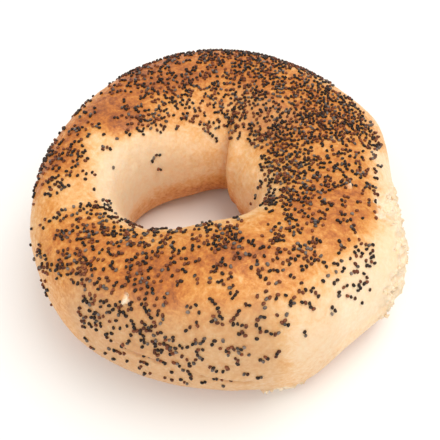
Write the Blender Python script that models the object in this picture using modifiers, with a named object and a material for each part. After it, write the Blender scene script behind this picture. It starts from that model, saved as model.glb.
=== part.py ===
"""A seeded bread bagel, torn from its neighbour on one side.

Metres, +Z up.  The bagel lies on its flat baked underside at z = 0 and its
torn side faces +X.  The dough ring is one closed cage: a torus whose points
are moved by functions of the direction around the hole and of the turn around
the dough, then rounded by Subdivision Surface.
"""
from math import atan2, copysign, cos, degrees, exp, hypot, radians, sin, sqrt

import bpy

# Driving dimensions, in metres
OUTER_RADIUS = 0.0548
HEIGHT = 0.0370
HOLE_MIDDLE = (-0.0074, -0.0038)
HOLE_HALF_SIZES = (0.0167, 0.0156)
HOLE_TURN = 8.0             # degrees

# The dough's section: where it is widest, and how full its quarters are
WIDEST_AT = 0.42            # share of the height
FULLNESS = 2.6              # 2 is an ellipse, more is squarer
FOOT_SINK = 1.08            # above 1, the lower arc is cut off flat at z = 0

# The cage
STATIONS = 48
SECTION_POINTS = 24

# Waves around the ring: how many, how high, and the direction of a crest
OUTER_WAVES = (
    (1, 0.0041, -27.0),
    (2, 0.0008, -53.0),
    (3, 0.0022, -30.0),
)
HOLE_WAVES = (
    (3, 0.0023, 72.0),
)
CROWN_WAVES = (
    (1, 0.0043, -100.0),
    (2, 0.0018, 118.0),
    (3, 0.0012, 38.0),
)

# Sides pressed flat in the oven: direction, distance from the middle, and
# how softly the flat runs into the round
FLATS = (
    (-4.0, 0.0500, 0.0020),     # by the neighbour that it was torn from
    (-51.5, 0.0549, 0.0004),    # by the tray's edge
    (148.5, 0.0507, 0.0023),    # by the bagel behind it
)

# The pinch, a small bulge of dough at the end of the flat by the tray's edge
PINCH_DIRECTION = -72.0
PINCH_SPREAD = 6.0          # degrees
PINCH_HEIGHT = 0.0010

# The lap: the rope's end laid over the ring, a bulge that stops at a seam
SEAM_DIRECTION = 72.0
SEAM_DEPTH = 0.0016
SEAM_SPREAD = 6.0           # degrees
LAP_HEIGHT = 0.0018
LAP_SPREAD = 24.0           # degrees
LAP_TURN = 165.0            # degrees around the dough, 180 at the hole's wall

# The torn patch, where the bagel was pulled off its neighbour
TEAR_DIRECTION = -25.0
TEAR_HALF_SPREAD = 20.0     # degrees
TEAR_MIDDLE = 0.0190        # height of its middle
TEAR_HALF_HEIGHT = 0.0150
TEAR_SWELL = 0.0009         # how far its middle stands out
TEAR_RELIEF = 0.0008        # how far its lumps stand out and lie back

CRUST_COLOUR = (0.55, 0.27, 0.09, 1.0)
CRUST_ROUGHNESS = 0.55


def waves(table, direction):
    """Sum of the cosine waves of a table in a direction around the hole."""
    return sum(size * cos(count * (direction - radians(crest))) for count, size, crest in table)


def turn_between(direction, middle):
    """Signed degrees from a middle direction, in degrees, to a direction."""
    away = degrees(direction) - middle
    return (away + 180.0) % 360.0 - 180.0


def bell(away, spread):
    """A smooth bump: one in the middle, nearly none two spreads away."""
    return exp(-(away / spread) ** 2)


def soft_min(first, second, softness):
    """The smaller of two lengths, with the corner between them rounded."""
    share = min(1.0, max(0.0, 0.5 + 0.5 * (second - first) / softness))
    return second * (1.0 - share) + first * share - softness * share * (1.0 - share)


def outer_radius(direction):
    """Distance from the middle to the outer wall where it is widest."""
    radius = OUTER_RADIUS + waves(OUTER_WAVES, direction)
    for flat_direction, distance, softness in FLATS:
        facing = cos(direction - radians(flat_direction))
        if facing > 0.3:
            radius = soft_min(radius, distance / facing, softness)
    return radius + PINCH_HEIGHT * bell(turn_between(direction, PINCH_DIRECTION), PINCH_SPREAD)


def inner_radius(direction):
    """Distance from the middle to the wall of the egg-shaped hole."""
    turned = direction - radians(HOLE_TURN)
    middle = hypot(*HOLE_MIDDLE)
    middle_turn = atan2(HOLE_MIDDLE[1], HOLE_MIDDLE[0]) - radians(HOLE_TURN)
    long_half, short_half = HOLE_HALF_SIZES
    ray = (cos(turned) / long_half, sin(turned) / short_half)
    start = (middle * cos(middle_turn) / long_half, middle * sin(middle_turn) / short_half)
    square = ray[0] ** 2 + ray[1] ** 2
    along = ray[0] * start[0] + ray[1] * start[1]
    beyond = start[0] ** 2 + start[1] ** 2 - 1.0
    reach = (along + sqrt(along ** 2 - square * beyond)) / square
    return reach + waves(HOLE_WAVES, direction)


def section_point(direction, turn):
    """A point of the dough's section, as its distance from the middle and z."""
    outer = outer_radius(direction)
    inner = inner_radius(direction)
    height = HEIGHT + waves(CROWN_WAVES, direction)
    widest = WIDEST_AT * height
    across = copysign(abs(cos(turn)) ** (2.0 / FULLNESS), cos(turn))
    up = copysign(abs(sin(turn)) ** (2.0 / FULLNESS), sin(turn))
    distance = (outer + inner) / 2.0 + (outer - inner) / 2.0 * across
    z = widest + (height - widest if up > 0.0 else widest * FOOT_SINK) * up
    return distance, max(z, 0.0)


def lap_push(direction, turn):
    """How far the lap and its seam move the surface outward from the dough."""
    away = turn_between(direction, SEAM_DIRECTION)
    seam = -SEAM_DEPTH * bell(away, SEAM_SPREAD)
    lap = LAP_HEIGHT * bell(away, LAP_SPREAD) if away < 0.0 else 0.0
    on_hole_side = max(0.0, cos(turn - radians(LAP_TURN))) ** 2
    return (seam + lap) * on_hole_side


def tear_push(direction, z):
    """How far the torn patch's lumpy crumb stands out from the dough's round."""
    across = turn_between(direction, TEAR_DIRECTION) / TEAR_HALF_SPREAD
    up = (z - TEAR_MIDDLE) / TEAR_HALF_HEIGHT
    inside = 1.0 - hypot(across, up) ** 2
    if inside <= 0.0:
        return 0.0
    lumps = 0.6 * sin(9.0 * across + 1.0) * cos(4.0 * up) + 0.4 * cos(14.0 * across - 3.0 * up)
    return min(1.0, 3.0 * inside) * (TEAR_SWELL + TEAR_RELIEF * lumps)


def crust_material():
    """Baked wheat crust, matt with a faint gloss."""
    material = bpy.data.materials.new("baked_crust")
    material.use_nodes = True
    shader = material.node_tree.nodes["Principled BSDF"]
    shader.inputs["Base Color"].default_value = CRUST_COLOUR
    shader.inputs["Roughness"].default_value = CRUST_ROUGHNESS
    shader.inputs["Metallic"].default_value = 0.0
    return material


def make_bagel():
    """The dough ring, shaped from a torus primitive and rounded."""
    hole_radius = sum(HOLE_HALF_SIZES) / 2.0
    middle_radius = (OUTER_RADIUS + hole_radius) / 2.0
    dough_radius = (OUTER_RADIUS - hole_radius) / 2.0
    bpy.ops.mesh.primitive_torus_add(
        major_segments=STATIONS,
        minor_segments=SECTION_POINTS,
        major_radius=middle_radius,
        minor_radius=dough_radius,
    )
    bagel = bpy.context.object
    bagel.name = "bagel"
    bagel.data.name = "bagel"
    for vertex in bagel.data.vertices:
        x, y, z = vertex.co
        direction = atan2(y, x)
        turn = atan2(z, hypot(x, y) - middle_radius)
        distance, z = section_point(direction, turn)
        lap = lap_push(direction, turn)
        distance += lap * cos(turn)
        if z > 0.0:
            z += lap * sin(turn)
        if cos(turn) > 0.0:
            distance += tear_push(direction, z)
        vertex.co = (distance * cos(direction), distance * sin(direction), max(z, 0.0))
    rounding = bagel.modifiers.new("rounding", "SUBSURF")
    rounding.levels = 1
    rounding.render_levels = 1
    bagel.data.shade_smooth()
    bagel.data.materials.append(crust_material())
    return bagel


def main():
    for thing in list(bpy.data.objects):
        bpy.data.objects.remove(thing, do_unlink=True)
    collection = bpy.data.collections.new("bagel")
    bpy.context.scene.collection.children.link(collection)
    bagel = make_bagel()
    for owner in list(bagel.users_collection):
        owner.objects.unlink(bagel)
    collection.objects.link(bagel)


main()
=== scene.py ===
# %% [markdown]
# # A poppy-seed bagel
# A ring of boiled and baked wheat dough, strewn with poppy seeds before it went
# into the oven, and pulled off its neighbour on the right, where the pale crumb
# shows.  The CAD model gives the true size and the big shape.  This lesson adds
# what a baker would recognise: the lap of the rope, dents and folds, the browned
# crown, the torn side with its flakes of crumb, and nearly four thousand seeds.

# %% Load the frame
from math import cos, pi, radians, sin

import bpy
import numpy as np
from mathutils import Matrix, Vector, noise
from mathutils.bvhtree import BVHTree


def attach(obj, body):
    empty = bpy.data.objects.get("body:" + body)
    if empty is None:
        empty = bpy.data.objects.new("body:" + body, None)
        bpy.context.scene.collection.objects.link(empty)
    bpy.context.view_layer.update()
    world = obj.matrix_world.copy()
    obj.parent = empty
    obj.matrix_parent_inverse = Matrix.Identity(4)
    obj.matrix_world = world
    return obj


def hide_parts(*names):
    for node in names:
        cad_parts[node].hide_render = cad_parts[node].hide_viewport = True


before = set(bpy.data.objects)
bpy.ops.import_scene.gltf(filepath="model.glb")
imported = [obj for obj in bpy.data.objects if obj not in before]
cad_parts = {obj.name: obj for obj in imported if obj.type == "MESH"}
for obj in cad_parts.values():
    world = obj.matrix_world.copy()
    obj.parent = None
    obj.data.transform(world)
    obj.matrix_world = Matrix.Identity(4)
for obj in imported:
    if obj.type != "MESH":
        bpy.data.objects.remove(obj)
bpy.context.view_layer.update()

MM = 0.001

# %% [markdown]
# ## The dough as a fine mesh
# The CAD ring is a closed mesh of loose triangles.  A copy of it is merged, its
# triangles are turned back into four-sided faces, and a Subdivision Surface makes
# them about 0.6 mm wide, fine enough for wrinkles and torn crumb.  Sculpting it
# from a new torus would work too, but a copy is sure to keep the true size.

# %% Copy the ring and subdivide it
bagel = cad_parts["bagel"]
bpy.ops.object.select_all(action="DESELECT")
skin = bagel.copy()
skin.data = bagel.data.copy()
skin.name = "bagel_skin"
skin.data.name = "bagel_skin"
bpy.context.scene.collection.objects.link(skin)
skin.parent = None
skin.matrix_world = Matrix.Identity(4)
skin.hide_render = False
skin.hide_viewport = False
bpy.context.view_layer.objects.active = skin
skin.select_set(True)

bpy.ops.object.mode_set(mode="EDIT")
bpy.ops.mesh.select_all(action="SELECT")
bpy.ops.mesh.remove_doubles(threshold=0.01 * MM)
bpy.ops.mesh.tris_convert_to_quads(face_threshold=radians(60), shape_threshold=radians(60))
bpy.ops.object.mode_set(mode="OBJECT")
rounding = skin.modifiers.new("rounding", "SUBSURF")
rounding.levels = 2
rounding.render_levels = 2
bpy.ops.object.modifier_apply(modifier=rounding.name)
skin.data.shade_smooth()
print("skin faces:", len(skin.data.polygons))

# %% [markdown]
# ## Places on the ring
# Everything on a bagel is told by where it is: the direction around the hole, the
# distance from the middle, and the height.  Directions are in degrees, 0 at the
# torn side, 90 at the back and -90 at the front.  These arrays hold the place of
# each point of the mesh, and small functions turn places into smooth masks.

# %% Arrays and masks
def points_of(mesh):
    """The mesh's points as an array, one row for each."""
    flat = np.empty(len(mesh.vertices) * 3, dtype=np.float32)
    mesh.vertices.foreach_get("co", flat)
    return flat.reshape(-1, 3).astype(float)


def normals_of(mesh):
    """The mesh's point normals as an array."""
    flat = np.empty(len(mesh.vertices) * 3, dtype=np.float32)
    mesh.vertex_normals.foreach_get("vector", flat)
    return flat.reshape(-1, 3).astype(float)


def move_points(mesh, new_points):
    """Writes the points back into the mesh."""
    mesh.vertices.foreach_set("co", new_points.astype(np.float32).ravel())
    mesh.update()


def smooth_step(low, high, value):
    """0 below low, 1 above high, and smooth between."""
    share = np.clip((value - low) / (high - low), 0.0, 1.0)
    return share * share * (3.0 - 2.0 * share)


def bell(away, spread):
    """A smooth bump, 1 in the middle and near 0 two spreads away."""
    return np.exp(-(away / spread) ** 2)


def turned_from(direction, middle):
    """Signed degrees from a middle direction, from -180 to 180."""
    return (direction - middle + 180.0) % 360.0 - 180.0


def rough(points, grain, seed, octaves=2):
    """Soft random numbers between about -1 and 1, with lumps of a size in mm."""
    shift = Vector((seed * 17.3, seed * 7.1, seed * 3.7))
    scale = 1.0 / (grain * MM)
    return np.array([
        noise.fractal(Vector(point) * scale + shift, 1.0, 2.0, octaves) for point in points
    ])


dough = points_of(skin.data)
outward = normals_of(skin.data)
direction = np.degrees(np.arctan2(dough[:, 1], dough[:, 0]))
distance = np.hypot(dough[:, 0], dough[:, 1]) / MM
height = dough[:, 2] / MM
facing_in = -(outward[:, 0] * dough[:, 0] + outward[:, 1] * dough[:, 1]) / (distance * MM)
facing_up = outward[:, 2]
print("height in mm:", height.min().round(2), "to", height.max().round(2))

# %% [markdown]
# ## Dents, the lap and the folds
# Dough that is rolled by hand and boiled has shallow dents some 15 mm wide and an
# orange-peel of 1 to 3 mm.  The rope's end laps over the ring at the back of
# the hole, and its rounded lip casts a line down the hole's wall.  Low on the
# front the skin folded as it sat down.  Each is a function of place that
# moves points along their normals, as a sculptor's brush would.

# %% Dents and orange peel
RELIEFS = (
    # grain and depth in mm, number of the noise
    (15.0, 0.30, 1),
    (3.0, 0.07, 2),
    (1.3, 0.035, 3),
)
push = np.zeros(len(dough))
upper = smooth_step(2.0, 6.0, height)
for grain, depth, number in RELIEFS:
    push += depth * rough(dough, grain, number) * upper

# %% The lap's lip on the hole's wall
LAP_DIRECTION = 70.0        # degrees, at the height below
LAP_HEIGHT = 20.0           # mm
LAP_SLOPE = 0.35            # degrees for each mm up
LIP_HEIGHT = 1.5            # mm
LIP_GROOVE = 1.3            # mm
lap_line = LAP_DIRECTION + LAP_SLOPE * (height - LAP_HEIGHT)
past_lap = turned_from(direction, lap_line) * pi / 180.0 * distance
on_wall = smooth_step(0.15, 0.6, facing_in) * smooth_step(4.0, 8.0, height)
lip = np.where(
    past_lap < 0.0, LIP_HEIGHT * bell(past_lap + 2.2, 2.2), -LIP_GROOVE * bell(past_lap, 1.2))
push += lip * on_wall

# %% Upright stretch marks on the hole's wall
STRETCH_DEPTH = 0.16        # mm
stretched = dough * np.array((1.0, 1.0, 0.22))
push += STRETCH_DEPTH * rough(stretched, 1.6, 11) * on_wall

# %% The folds low on the front
FOLD_DEPTH = 1.5            # mm
FOLDS = (
    # direction, half spread in degrees, height in mm, slope in mm for each degree
    (-112.0, 9.0, 23.5, -0.10),
    (-90.0, 9.0, 18.3, -0.20),
    (-48.0, 20.0, 16.0, 0.05),
)


def fold(middle_direction, half_spread, low, slope):
    """A short crease that runs around the side, with a soft roll above it."""
    away = turned_from(direction, middle_direction)
    line = low + slope * away
    there = smooth_step(half_spread, 0.4 * half_spread, np.abs(away))
    side = smooth_step(0.1, 0.5, -facing_in)
    crease = -FOLD_DEPTH * bell(height - line, 0.65)
    roll = 0.5 * FOLD_DEPTH * bell(height - line - 2.2, 1.6)
    return (crease + roll) * there * side


folds = sum(fold(*row) for row in FOLDS)
push += folds
print("folds reach", folds.min().round(2), "to", folds.max().round(2), "mm")

# %% [markdown]
# ## The torn side
# Where two bagels touch in the oven they grow together, and pulling them apart
# leaves a rough oval of soft crumb with ragged lips of crust.  A mask with a noisy
# edge says where it is.  Inside it the floor drops a little and is broken into
# lumps and ridges.  A smaller tear is at the foot in front, and a
# chip of crust is missing from the crown.

# %% Mask and relief of the tears
TEARS = (
    # direction, half spread in degrees, height, half height in mm
    (-24.0, 20.0, 19.0, 15.5),      # the torn side
    (-74.0, 5.5, 6.5, 4.2),         # at the foot
    (-118.0, 0.9, 37.0, 0.7),       # the chip
)
FLOOR_DROP = 0.6            # mm
RIDGE_HEIGHT = 1.8          # mm
RIM_HEIGHT = 0.8            # mm, the lip of crust round a tear
ragged_edge = 0.20 * rough(dough, 4.0, 4) + 0.10 * rough(dough, 1.5, 5)
torn = np.zeros(len(dough))
for middle_direction, half_spread, middle_height, half_height in TEARS:
    across = turned_from(direction, middle_direction) / half_spread
    up = (height - middle_height) / half_height
    inside = 1.0 - np.hypot(across, up) + ragged_edge
    inside = np.where(facing_in < 0.0, inside, -1.0)
    torn = np.maximum(torn, inside)
crumb = smooth_step(0.0, 0.07, torn)
ridges = (1.0 - np.abs(rough(dough, 4.5, 6))) ** 5
lumps = 0.75 * rough(dough, 3.2, 7) + 0.35 * rough(dough, 1.3, 8)
push += crumb * (lumps + RIDGE_HEIGHT * ridges - FLOOR_DROP)
push += RIM_HEIGHT * bell(torn - 0.04, 0.05)
print("torn share of the skin:", round(float(crumb.mean()), 3))

# %% Move the points, and keep the foot flat
shaped = dough + outward * (push * MM)[:, None]
shaped[:, 2] = np.maximum(shaped[:, 2], 0.0)
move_points(skin.data, shaped)

# %% [markdown]
# ## How brown it is
# The crust browns where it stands highest and nearest the heat, and stays pale in
# the hole, in the saddle at the left and where a neighbour shaded it.  It is
# painted as a baker would glaze it, in broad strokes round the hole, each with a
# tone from 0, cream, to 1, dark brown, laid over the ones before.  Noise wobbles
# their edges.  Painted shade darkens the tone in the folds' creases, along the
# lap's groove and, together with some real browning, toward the foot of the
# hole's wall.  The tone is kept as an attribute that the material reads.

# %% A brush for strokes round the hole
wobble = 1.4 * rough(dough, 6.0, 10)


def paint(start, strokes, softness):
    """Lays strokes over a start value; their edges blend over some mm."""
    painted = np.full(len(dough), start)
    for first, last, inner, outer, value in strokes:
        off_middle = np.abs(turned_from(direction, (first + last) / 2.0))
        along = ((last - first) / 2.0 - off_middle) * pi / 180.0 * distance
        inside = np.minimum(along, np.minimum(distance - inner, outer - distance)) + wobble
        painted += (value - painted) * smooth_step(-softness, softness, inside)
    return painted


def keep_attribute(mesh, name, values):
    """Stores one number for each point of the mesh under a name."""
    attribute = mesh.attributes.new(name, "FLOAT", "POINT")
    attribute.data.foreach_set("value", values.astype(np.float32))


# %% Browning
BROWNING = (
    # from and to direction, from and to distance in mm, tone
    (60, 95, 30, 60, 0.66),         # the back
    (95, 130, 30, 60, 0.76),
    (130, 165, 25, 42, 0.76),       # the orange shoulder at the upper left
    (140, 165, 42, 60, 0.62),
    (165, 190, 35, 50, 0.68),
    (160, 205, 20, 35, 0.24),       # the pale saddle
    (185, 205, 30, 44, 0.34),
    (190, 215, 44, 60, 0.42),
    (60, 130, 12, 27, 0.50),        # the lip at the back
    (205, 235, 35, 50, 0.64),       # the front left
    (205, 235, 25, 35, 0.50),
    (235, 260, 35, 48, 0.74),
    (220, 260, 48, 60, 0.52),
    (250, 300, 20, 32, 0.55),
    (260, 290, 32, 40, 0.72),       # the front
    (260, 290, 40, 50, 0.50),
    (260, 285, 50, 60, 0.44),
    (290, 310, 30, 47, 0.54),
    (285, 315, 48, 60, 0.16),
    (310, 345, 25, 42, 0.66),       # the right
    (300, 350, 46, 60, 0.08),       # the pale band by the tear
    (340, 370, 28, 42, 0.56),
    (340, 370, 42, 60, 0.14),
    (10, 60, 15, 45, 0.60),         # the back right
    (10, 60, 45, 60, 0.36),
)
FIRST_TONE = 0.50
SIDE_TONE = 0.46
WALL_TONE = 0.26            # the hole's wall
UNDERSIDE_TONE = 0.70
EDGE_SOFTNESS = 4.0         # mm
toast_and_shade = paint(FIRST_TONE, BROWNING, EDGE_SOFTNESS)
low_side = smooth_step(26.0, 16.0, height) * smooth_step(0.0, 0.3, -facing_in)
side_tone = SIDE_TONE - 0.30 * bell(turned_from(direction, -35.0), 45.0)
toast_and_shade += (side_tone - toast_and_shade) * 0.8 * low_side
wall_tone = WALL_TONE - 0.20 * bell(turned_from(direction, 180.0), 50.0)
# Darker toward the foot of the hole's wall: partly the crust's own browning, partly painted shade in the
# hole.
wall_tone += 0.40 * smooth_step(18.0, 9.0, height)
toast_and_shade += (wall_tone - toast_and_shade) * smooth_step(0.35, 0.75, facing_in)
toast_and_shade += (UNDERSIDE_TONE - toast_and_shade) * smooth_step(-0.4, -0.8, facing_up)
toast_and_shade += 0.06 * smooth_step(0.3, 1.0, facing_up)
# Painted shade: the tone is darkened in the folds' creases and along the lap's groove on the hole's wall.
toast_and_shade += 0.34 * smooth_step(-0.2, -1.0, folds) + 0.36 * on_wall * bell(past_lap, 0.6)
# Greyish tan mixed into the crust: a dulling low on the front, and painted shade behind the hole on the
# right.
DULLING_AND_SHADE = (
    # from and to direction, from and to distance in mm, how far dulled to greyish tan from 0 to 1
    (225, 285, 47, 60, 0.9),        # low on the front
    (285, 300, 50, 60, 0.3),
    (30, 75, 16, 30, 0.4),          # behind the hole on the right, painted shade among the thick seeds
)
keep_attribute(skin.data, "toast_and_shade", toast_and_shade)
keep_attribute(skin.data, "dulling_and_shade", paint(0.0, DULLING_AND_SHADE, EDGE_SOFTNESS))
keep_attribute(skin.data, "crumb", crumb)
print("toast from", toast_and_shade.min().round(2), "to", toast_and_shade.max().round(2))

# %% [markdown]
# ## One poppy seed
# A poppy seed is a kidney about 1 mm long and a little less wide.  Thousands are
# needed, so one is modelled with few faces: a small sphere, stretched, with its
# middle pulled in on one side.  Its copies are turned and placed by numbers
# and joined, which keeps them light.

# %% Model the seed
SEED_LENGTH = 1.06          # mm, like the two below
SEED_WIDTH = 0.94
SEED_DEPTH = 0.88
bpy.ops.object.select_all(action="DESELECT")
bpy.ops.mesh.primitive_uv_sphere_add(
    segments=8, ring_count=5, radius=0.5, rotation=(0.0, pi / 2.0, 0.0))
seed = bpy.context.object
bpy.ops.object.transform_apply(location=False, rotation=True, scale=False)
bpy.ops.object.mode_set(mode="EDIT")
bpy.ops.mesh.select_all(action="SELECT")
bpy.ops.transform.resize(value=(SEED_LENGTH, SEED_WIDTH, SEED_DEPTH))
bpy.ops.mesh.select_all(action="DESELECT")
bpy.ops.object.mode_set(mode="OBJECT")
for vertex in seed.data.vertices:
    vertex.select = abs(vertex.co.x) < 0.25 * SEED_LENGTH and vertex.co.y < -0.15 * SEED_WIDTH
bpy.ops.object.mode_set(mode="EDIT")
bpy.ops.transform.translate(value=(0.0, 0.13, 0.0))
bpy.ops.object.mode_set(mode="OBJECT")
seed_points = points_of(seed.data)
seed_faces = [tuple(face.vertices) for face in seed.data.polygons]
bpy.data.objects.remove(seed, do_unlink=True)
print("seed:", len(seed_points), "points,", len(seed_faces), "faces")

# %% [markdown]
# ## Where the seeds fell
# The wet crown was dipped in seeds.  They lie thickest at the back right and
# round the front lip of the hole, in strings and clumps elsewhere, and miss the
# saddle at the left and the torn side.  The same brush lays down how thick they
# are, and noise breaks them into clumps.

# %% Seed density
SPRINKLED = (
    # from and to direction, from and to distance in mm, how thick from 0 to 1
    (45, 95, 17, 60, 0.55),         # the back
    (95, 130, 18, 60, 0.42),
    (130, 150, 20, 33, 0.36),
    (130, 165, 33, 60, 0.15),       # a gap at the upper left
    (165, 190, 34, 48, 0.45),       # a patch at the left
    (155, 185, 27, 34, 0.14),
    (200, 235, 28, 50, 0.46),       # the front left
    (205, 215, 45, 55, 0.10),
    (230, 262, 26, 53, 0.34),
    (252, 260, 40, 50, 0.10),       # a bare streak
    (262, 290, 32, 42, 0.42),       # the front
    (262, 282, 24, 32, 0.75),       # its lip, thick
    (262, 290, 42, 54, 0.20),
    (290, 312, 30, 40, 0.38),
    (290, 315, 40, 52, 0.18),
    (305, 335, 18, 33, 0.55),       # the right
    (310, 325, 33, 50, 0.26),
    (325, 345, 33, 45, 0.14),
    (335, 370, 13, 28, 0.80),       # beside the hole
    (340, 370, 28, 43, 0.42),
    (10, 45, 15, 46, 0.85),         # thickest, at the back right
)
THICKEST = 0.95             # share of the seeds' full bed at a thickness of 1
thickness = paint(0.0, SPRINKLED, 2.5)
thickness *= smooth_step(10.0, 20.0, height) * (1.0 - crumb)
thickness *= smooth_step(0.92, 0.70, facing_in)
clumps = smooth_step(-0.40, 0.40, rough(shaped, 3.5, 9))
thickness *= 1.25 * clumps + (1.0 - 1.25 * clumps) * thickness
thickness = np.clip(thickness, 0.0, 1.0)
print("mean thickness on the crown:", round(float(thickness[facing_up > 0.5].mean()), 2))

# %% Scatter the seeds
THROWS = 1.50               # for each seed of a full bed
SEED_GAP = 0.78             # mm between the middles of two seeds
RUN_CHANCE = 0.42           # that another seed lies beside the last
RUN_STEP = 0.90             # mm
dice = np.random.default_rng(12)
skin_mesh = skin.data
corners = np.empty(len(skin_mesh.loops), dtype=np.int64)
skin_mesh.loops.foreach_get("vertex_index", corners)
corners = corners.reshape(-1, 4)
areas = np.empty(len(skin_mesh.polygons))
skin_mesh.polygons.foreach_get("area", areas)
face_thickness = thickness[corners].mean(axis=1)
chance = -np.log(1.0 - THICKEST * face_thickness) * areas / MM ** 2
throws = int(THROWS * chance.sum())
surface = BVHTree.FromObject(skin, bpy.context.evaluated_depsgraph_get())


class SeedBed:
    """Seeds laid so far, in a grid of 1 mm cells, so that none lies in another."""

    def __init__(self, gap):
        self.gap = gap
        self.cells = {}
        self.spots = []

    def cell(self, spot):
        return tuple(int(value // MM) for value in spot)

    def is_free(self, spot):
        middle = self.cell(spot)
        for step_x in (-1, 0, 1):
            for step_y in (-1, 0, 1):
                for step_z in (-1, 0, 1):
                    key = (middle[0] + step_x, middle[1] + step_y, middle[2] + step_z)
                    for other in self.cells.get(key, ()):
                        if (spot - other).length < self.gap:
                            return False
        return True

    def lay(self, spot, normal):
        self.cells.setdefault(self.cell(spot), []).append(spot)
        self.spots.append((spot, normal))


bed = SeedBed(SEED_GAP * MM)
for face_index in dice.choice(len(chance), size=throws, p=chance / chance.sum()):
    share = dice.random(2)
    first, second, third, fourth = shaped[corners[face_index]]
    one_edge = first * (1 - share[0]) + second * share[0]
    other_edge = fourth * (1 - share[0]) + third * share[0]
    spot = Vector(one_edge * (1 - share[1]) + other_edge * share[1])
    while True:
        spot, normal, where, _ = surface.find_nearest(spot)
        if face_thickness[where] < 0.01 or not bed.is_free(spot):
            break
        bed.lay(spot, normal)
        if dice.random() > RUN_CHANCE:
            break
        heading = Vector(dice.normal(size=3)).cross(normal).normalized()
        spot = spot + heading * (RUN_STEP * MM)
print("seeds laid:", len(bed.spots), "from", throws, "throws")

# %% Join the seeds by kind
KINDS = (("seeds_dark", 0.44), ("seeds_brown", 0.40), ("seeds_slate", 0.16))
SEED_SIZES = (0.86, 1.10)   # smallest and largest, against the seed modelled
SEED_LIFT = 0.22            # mm from the crust to a seed's middle


def turned_seed(spot, normal):
    """The seed's points, turned at random on the crust and sunk a little into it."""
    tangent = Vector(dice.normal(size=3)).cross(normal).normalized()
    roll = Matrix.Rotation(dice.normal() * 0.35, 3, "X")
    tilt = roll @ Matrix.Rotation(dice.normal() * 0.25, 3, "Y")
    stand = Matrix((tangent, normal.cross(tangent), normal)).transposed() @ tilt
    size = MM * dice.uniform(*SEED_SIZES)
    lift = normal * (SEED_LIFT * MM)
    return (seed_points * size) @ np.array(stand).T + np.array(spot + lift)


def join_copies(name, copies, faces_of_one):
    """One mesh object made of copies of a piece, each given as its points."""
    count = len(copies[0])
    faces = [tuple(index + number * count for index in face)
             for number in range(len(copies)) for face in faces_of_one]
    mesh = bpy.data.meshes.new(name)
    mesh.from_pydata(np.concatenate(copies).tolist(), [], faces)
    mesh.shade_smooth()
    piece = bpy.data.objects.new(name, mesh)
    bpy.context.scene.collection.objects.link(piece)
    print(name, len(copies), "copies,", len(faces), "faces")
    return piece


names = [name for name, share in KINDS]
shares = [share for name, share in KINDS]
laid = {name: [] for name in names}
for spot, normal in bed.spots:
    laid[str(dice.choice(names, p=shares))].append(turned_seed(spot, normal))
seed_pieces = {name: join_copies(name, laid[name], seed_faces) for name in names}

# %% [markdown]
# ## Shreds of crumb
# Pulling the bagels apart draws the soft crumb out into small pointed flakes,
# 0.7 to 1.7 mm long, most of them along the edge of the tear.  One is modelled as a
# flat cone with its tip pushed over, and copies are turned and joined.

# %% Model a shred
bpy.ops.object.select_all(action="DESELECT")
bpy.ops.mesh.primitive_cone_add(vertices=6, radius1=0.5, depth=1.0, location=(0.0, 0.0, 0.5))
shred = bpy.context.object
bpy.ops.object.transform_apply(location=True, rotation=False, scale=False)
for vertex in shred.data.vertices:
    vertex.select = vertex.co.z > 0.9
bpy.ops.object.mode_set(mode="EDIT")
bpy.ops.transform.translate(value=(0.35, 0.10, 0.0))
bpy.ops.mesh.select_all(action="SELECT")
bpy.ops.transform.resize(value=(1.1, 0.45, 1.0), center_override=(0.0, 0.0, 0.0))
bpy.ops.object.mode_set(mode="OBJECT")
shred_points = points_of(shred.data)
shred_faces = [tuple(face.vertices) for face in shred.data.polygons]
bpy.data.objects.remove(shred, do_unlink=True)

# %% Stand the shreds in the tears
SHREDS = 180
SHRED_LENGTHS = (0.7, 1.7)  # mm
SHRED_SINK = 0.25           # mm
face_crumb = crumb[corners].mean(axis=1)
at_edge = 0.35 + bell(torn[corners].mean(axis=1) - 0.10, 0.12)
tear_chance = areas * at_edge * np.where(face_crumb > 0.5, 1.0, 0.0)
shreds_laid = []
for face_index in dice.choice(len(tear_chance), size=SHREDS, p=tear_chance / tear_chance.sum()):
    spot = Vector(shaped[corners[face_index]].mean(axis=0))
    normal = surface.find_nearest(spot)[1]
    side = Vector(dice.normal(size=3)).cross(normal).normalized()
    heading = (0.45 * normal + 0.8 * normal.cross(side)).normalized()
    stand = Matrix((side, heading.cross(side), heading)).transposed()
    size = MM * dice.uniform(*SHRED_LENGTHS)
    root = np.array(spot - normal * (SHRED_SINK * MM))
    shreds_laid.append((shred_points * size) @ np.array(stand).T + root)
shred_piece = join_copies("crumb_shreds", shreds_laid, shred_faces)

# %% [markdown]
# ## Materials
# The crust is wheat dough, boiled and then baked: a thin gelatinised skin that
# browns in the oven and stays slightly glossy over soft bread that light enters a
# little.  The crumb is the bread itself, cream and quite dull.  Poppy seeds are
# hard and slightly waxy.  Each node is added by one small function.

# %% Helpers for materials
def linear(hex_code):
    """A linear colour from an sRGB hex code."""
    channels = [int(hex_code[start:start + 2], 16) / 255.0 for start in (1, 3, 5)]
    return (*(
        value / 12.92 if value <= 0.04045 else ((value + 0.055) / 1.055) ** 2.4
        for value in channels
    ), 1.0)


def add_node(tree, kind, inputs=None, **settings):
    """Adds a node with its settings; an input takes a value or another socket."""
    node = tree.nodes.new(kind)
    for name, value in settings.items():
        setattr(node, name, value)
    for socket, value in (inputs or {}).items():
        if isinstance(value, bpy.types.NodeSocket):
            tree.links.new(value, node.inputs[socket])
        else:
            node.inputs[socket].default_value = value
    return node


def set_stops(ramp, stops):
    """Gives a Color Ramp its stops: places from 0 to 1 and hex colours."""
    elements = ramp.color_ramp.elements
    while len(elements) > len(stops):
        elements.remove(elements[-1])
    while len(elements) < len(stops):
        elements.new(0.5)
    for element, (place, hex_code) in zip(elements, stops):
        element.position = place
        element.color = linear(hex_code)


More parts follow.
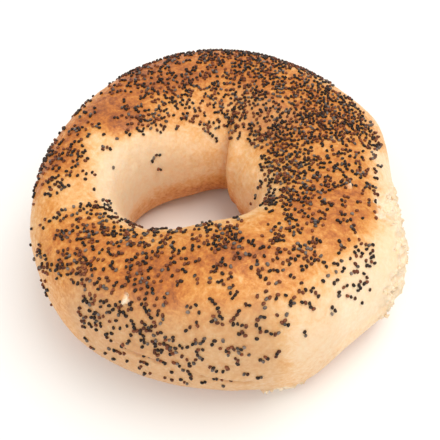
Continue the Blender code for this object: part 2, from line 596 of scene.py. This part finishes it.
def new_material(name):
    """A material with a Principled shader, its node tree and the shader."""
    material = bpy.data.materials.new(name)
    material.use_nodes = True
    tree = material.node_tree
    return material, tree, tree.nodes["Principled BSDF"]


PER_METRE = 1.0 / MM        # a noise scale of 1 / (grain in mm) on metres

BREAD_STOPS = ((0.30, "#F3D2A8"), (0.65, "#FFEBCF"))
CRUMB_ROUGHNESS = 0.92
FRECKLE_SHARE = 0.60        # of the freckles in the crust's marks, to 1 of the mottle
MEAN_MARK = 0.80
DULLING_SHARE = 0.55          # of the greyish tan where the mask is fullest


def let_light_in(shader):
    """Light enters soft bread a little and comes out warmer."""
    shader.inputs["Subsurface Weight"].default_value = 0.12
    shader.inputs["Subsurface Radius"].default_value = (1.0, 0.55, 0.25)
    shader.inputs["Subsurface Scale"].default_value = 1.5 * MM


# %% Baked crust, with bread showing in its tears
def baked_crust():
    """Boiled and baked wheat dough.  Brown where the heat reached it, with painted shade in creases and
    the hole, mottled at about 4 mm, freckled at 1 mm, with an orange-peel that breaks its soft gloss."""
    material, tree, shader = new_material("baked_wheat_crust")
    place = add_node(tree, "ShaderNodeTexCoord").outputs["Object"]
    toast_and_shade = add_node(tree, "ShaderNodeAttribute", attribute_name="toast_and_shade").outputs["Fac"]
    crumb_mask = add_node(tree, "ShaderNodeAttribute", attribute_name="crumb").outputs["Fac"]
    mottle = add_node(tree, "ShaderNodeTexNoise", {
        "Vector": place, "Scale": PER_METRE / 4.0, "Detail": 7.0, "Roughness": 0.74, "Distortion": 1.0,
    }).outputs["Fac"]
    freckle = add_node(tree, "ShaderNodeTexNoise", {
        "Vector": place, "Scale": PER_METRE / 1.1, "Detail": 3.0, "Roughness": 0.6,
    }).outputs["Fac"]
    marks = add_node(tree, "ShaderNodeMath", {
        0: freckle, 1: FRECKLE_SHARE, 2: mottle,
    }, operation="MULTIPLY_ADD").outputs[0]
    balanced = add_node(tree, "ShaderNodeMath", {
        0: marks, 1: MEAN_MARK,
    }, operation="SUBTRACT").outputs[0]
    share = add_node(tree, "ShaderNodeMapRange", {
        "Value": toast_and_shade, "From Min": 0.10, "From Max": 0.65, "To Min": 0.35, "To Max": 1.0,
    }).outputs[0]
    level = add_node(tree, "ShaderNodeMath", {
        0: balanced, 1: share, 2: toast_and_shade,
    }, operation="MULTIPLY_ADD")
    crust = add_node(tree, "ShaderNodeValToRGB", {"Fac": level.outputs[0]})
    set_stops(crust, (
        (0.00, "#FBE5C4"), (0.18, "#F8D3A6"), (0.36, "#EEB777"),
        (0.55, "#DE9545"), (0.74, "#C4722C"), (1.00, "#8A4824"),
    ))
    bread = add_node(tree, "ShaderNodeValToRGB", {"Fac": freckle})
    set_stops(bread, BREAD_STOPS)
    # Greyish tan mixed in by the mask: dulling low on the front, painted shade behind the hole on the
    # right.
    dulling_and_shade = add_node(tree, "ShaderNodeAttribute", attribute_name="dulling_and_shade").outputs["Fac"]
    dulled_share = add_node(tree, "ShaderNodeMath", {
        0: dulling_and_shade, 1: DULLING_SHARE,
    }, operation="MULTIPLY").outputs[0]
    dull = add_node(tree, "ShaderNodeMix", {
        0: dulled_share, 6: crust.outputs["Color"], 7: linear("#C9A47E"),
    }, data_type="RGBA").outputs[2]
    colour = add_node(tree, "ShaderNodeMix", {
        0: crumb_mask, 6: dull, 7: bread.outputs["Color"],
    }, data_type="RGBA").outputs[2]
    gloss = add_node(tree, "ShaderNodeMapRange", {
        "Value": freckle, "From Min": 0.3, "From Max": 0.7, "To Min": 0.34, "To Max": 0.56,
    }).outputs[0]
    rough_crumb = add_node(tree, "ShaderNodeMix", {0: crumb_mask, 2: gloss, 3: CRUMB_ROUGHNESS}).outputs[0]
    peel = add_node(tree, "ShaderNodeTexNoise", {
        "Vector": place, "Scale": PER_METRE / 0.7, "Detail": 4.0, "Roughness": 0.65,
    }).outputs["Fac"]
    relief = add_node(tree, "ShaderNodeBump", {
        "Height": peel, "Strength": 0.55, "Distance": 0.25 * MM,
    }).outputs["Normal"]
    for socket, source in (("Base Color", colour), ("Roughness", rough_crumb), ("Normal", relief)):
        tree.links.new(source, shader.inputs[socket])
    shader.inputs["Specular IOR Level"].default_value = 0.45
    let_light_in(shader)
    return material


def torn_crumb():
    """Soft white bread, quite dull, cream with slightly darker pores at 1 mm."""
    material, tree, shader = new_material("torn_wheat_crumb")
    place = add_node(tree, "ShaderNodeTexCoord").outputs["Object"]
    pores = add_node(tree, "ShaderNodeTexNoise", {
        "Vector": place, "Scale": PER_METRE / 1.1, "Detail": 3.0,
    })
    bread = add_node(tree, "ShaderNodeValToRGB", {"Fac": pores.outputs["Fac"]})
    set_stops(bread, BREAD_STOPS)
    tree.links.new(bread.outputs["Color"], shader.inputs["Base Color"])
    shader.inputs["Roughness"].default_value = CRUMB_ROUGHNESS
    let_light_in(shader)
    return material


skin.data.materials.clear()
skin.data.materials.append(baked_crust())
shred_piece.data.materials.append(torn_crumb())

# %% Poppy seeds
SEED_COLOURS = {
    "seeds_dark": ("poppy_seed_ripe", "#160B07", "#372116", 0.48),
    "seeds_brown": ("poppy_seed_brown", "#43200F", "#8E4E2E", 0.52),
    "seeds_slate": ("poppy_seed_slate", "#2C2420", "#85766C", 0.50),
}


def poppy_seed(name, dark, light, roughness):
    """Hard seed coat with a waxy gleam, a little lighter on some seeds."""
    material, tree, shader = new_material(name)
    place = add_node(tree, "ShaderNodeTexCoord").outputs["Object"]
    cell = add_node(tree, "ShaderNodeTexNoise", {
        "Vector": place, "Scale": PER_METRE / 1.6, "Detail": 1.0,
    }).outputs["Fac"]
    coat = add_node(tree, "ShaderNodeValToRGB", {"Fac": cell})
    set_stops(coat, ((0.35, dark), (0.70, light)))
    pits = add_node(tree, "ShaderNodeTexVoronoi", {
        "Vector": place, "Scale": PER_METRE / 0.2,
    }).outputs["Distance"]
    relief = add_node(tree, "ShaderNodeBump", {
        "Height": pits, "Strength": 0.5, "Distance": 0.06 * MM,
    }).outputs["Normal"]
    tree.links.new(coat.outputs["Color"], shader.inputs["Base Color"])
    tree.links.new(relief, shader.inputs["Normal"])
    shader.inputs["Roughness"].default_value = roughness
    shader.inputs["Specular IOR Level"].default_value = 0.34
    return material


for name, piece in seed_pieces.items():
    piece.data.materials.append(poppy_seed(*SEED_COLOURS[name]))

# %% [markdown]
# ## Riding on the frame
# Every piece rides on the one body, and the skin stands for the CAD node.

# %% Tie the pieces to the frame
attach(skin, "root")
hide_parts("bagel")
for piece in (*seed_pieces.values(), shred_piece):
    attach(piece, "root")

# %% [markdown]
# ## Stage, light and camera
# A plain pale floor and two large soft lights: the brighter one high at the right
# and behind, the other a broad fill.  The camera looks down at about 55 degrees
# from close by, so the front is visibly larger than the back.

# %% Floor
bpy.ops.object.select_all(action="DESELECT")
bpy.ops.mesh.primitive_plane_add(size=6.0, location=(0.0, 0.0, 0.0))
floor = bpy.context.object
floor.name = "floor"
floor_paint, floor_tree, floor_shader = new_material("white_card")
floor_shader.inputs["Base Color"].default_value = linear("#FAFAF8")
floor_shader.inputs["Roughness"].default_value = 0.9
floor.data.materials.append(floor_paint)

# %% Lights
def soft_light(name, place, size, power, colour="#FFFFFF"):
    """A square area light that faces the bagel."""
    lamp = bpy.data.lights.new(name, "AREA")
    lamp.size = size
    lamp.energy = power
    lamp.color = linear(colour)[:3]
    light = bpy.data.objects.new(name, lamp)
    light.location = place
    towards = Vector((0.0, 0.0, 0.02)) - Vector(place)
    light.rotation_euler = towards.to_track_quat("-Z", "Y").to_euler()
    bpy.context.scene.collection.objects.link(light)


soft_light("key", (0.28, 0.06, 0.76), 0.50, 3.4, "#FFFAF3")
soft_light("fill", (-0.30, -0.60, 0.60), 0.80, 1.6)
world = bpy.data.worlds.new("studio")
world.use_nodes = True
world.node_tree.nodes["Background"].inputs["Color"].default_value = linear("#FFFFFF")
world.node_tree.nodes["Background"].inputs["Strength"].default_value = 0.70
bpy.context.scene.world = world
bpy.context.scene.view_settings.view_transform = "Standard"

# %% Camera
ELEVATION = radians(55.2)
AWAY = 0.211
TARGET = Vector((0.0006, -0.0051, 0.0150))
ROLL = radians(-2.8)
look = Vector((0.0, cos(ELEVATION), -sin(ELEVATION)))
right = Vector((1.0, 0.0, 0.0))
up = right.cross(look)
turned_right = right * cos(ROLL) + up * sin(ROLL)
turned_up = up * cos(ROLL) - right * sin(ROLL)
camera = bpy.data.objects.new("camera", bpy.data.cameras.new("camera"))
camera.data.lens = 60.4
camera.data.sensor_width = 36.0
camera.data.clip_start = 0.01
camera.matrix_world = Matrix.Translation(TARGET - look * AWAY) @ Matrix(
    (turned_right, turned_up, -look)).transposed().to_4x4()
bpy.context.scene.collection.objects.link(camera)
bpy.context.scene.camera = camera
